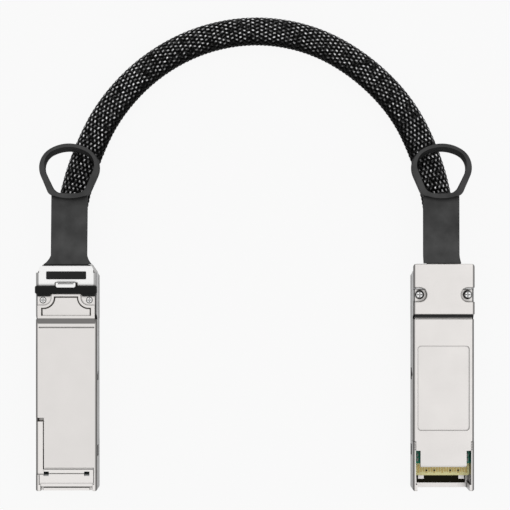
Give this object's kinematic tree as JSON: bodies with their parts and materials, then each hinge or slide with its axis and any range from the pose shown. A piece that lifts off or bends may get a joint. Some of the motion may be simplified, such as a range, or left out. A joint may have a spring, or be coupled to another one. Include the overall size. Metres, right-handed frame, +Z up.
{
  "type": "direct attach copper cable",
  "caption": "Short pluggable copper network cable: flat metal plugs with card-edge contacts and pull rings, joined by a braided sleeve in an arch.",
  "frame": {"origin": "on the surface under the plugs, midway between the two plugs and midway from their noses to the ends of their pull rings", "axes": "+X from the left plug to the right plug, +Y from the noses to the pull rings and the arch of the sleeve, +Z up from the surface"},
  "size_m": [0.1317, 0.1434, 0.0111],
  "materials": {
    "nickel_shell": "die-cast zinc, nickel plated, satin",
    "slider_steel": "stamped stainless sheet, bright",
    "screw_steel": "plated steel screws",
    "spring_steel": "spring wire",
    "clamp_steel": "plain plated steel",
    "green_laminate": "green solder mask on glass laminate, bare pale edge",
    "gold_contact": "gold plated copper",
    "chip_epoxy": "black moulded epoxy",
    "ceramic": "tan ceramic with tinned ends",
    "wire_jacket": "foil-wrapped twin wires",
    "pull_elastomer": "dark grey moulded elastomer, fine matt",
    "bar_plastic": "black moulded plastic",
    "gasket_rubber": "black conductive rubber",
    "braid": "black braided monofilament with bright flecks"
  },
  "bodies": {
    "cable": {"left_key_shell": "nickel_shell", "left_label_shell": "nickel_shell", "left_shell_screws": "screw_steel", "left_paddle_card": "green_laminate", "left_contact_pads": "gold_contact", "left_memory_chip": "chip_epoxy", "left_card_capacitors": "ceramic", "left_wire_pairs": "wire_jacket", "left_cable_clamp": "clamp_steel", "left_return_springs": "spring_steel", "right_key_shell": "nickel_shell", "right_label_shell": "nickel_shell", "right_shell_screws": "screw_steel", "right_paddle_card": "green_laminate", "right_contact_pads": "gold_contact", "right_memory_chip": "chip_epoxy", "right_card_capacitors": "ceramic", "right_wire_pairs": "wire_jacket", "right_cable_clamp": "clamp_steel", "right_return_springs": "spring_steel", "right_cover_plate": "nickel_shell", "right_gasket_strip": "gasket_rubber", "braided_sleeve": "braid"},
    "left_release": {"left_release_slider": "slider_steel", "left_pull_tab": "pull_elastomer", "left_cross_bar": "bar_plastic"},
    "right_release": {"right_release_slider": "slider_steel", "right_pull_tab": "pull_elastomer"}
  },
  "joints": [
    {"name": "left_release_slide", "type": "slide", "parent": "cable", "child": "left_release", "axis": [0, 1, 0], "range_m": [0, 0.0022], "stiffness_N_per_m": 400, "springref_m": -0.001, "deforming": ["left_return_springs"]},
    {"name": "right_release_slide", "type": "slide", "parent": "cable", "child": "right_release", "axis": [0, 1, 0], "range_m": [0, 0.0022], "stiffness_N_per_m": 400, "springref_m": -0.001, "deforming": ["right_return_springs"]}
  ]
}
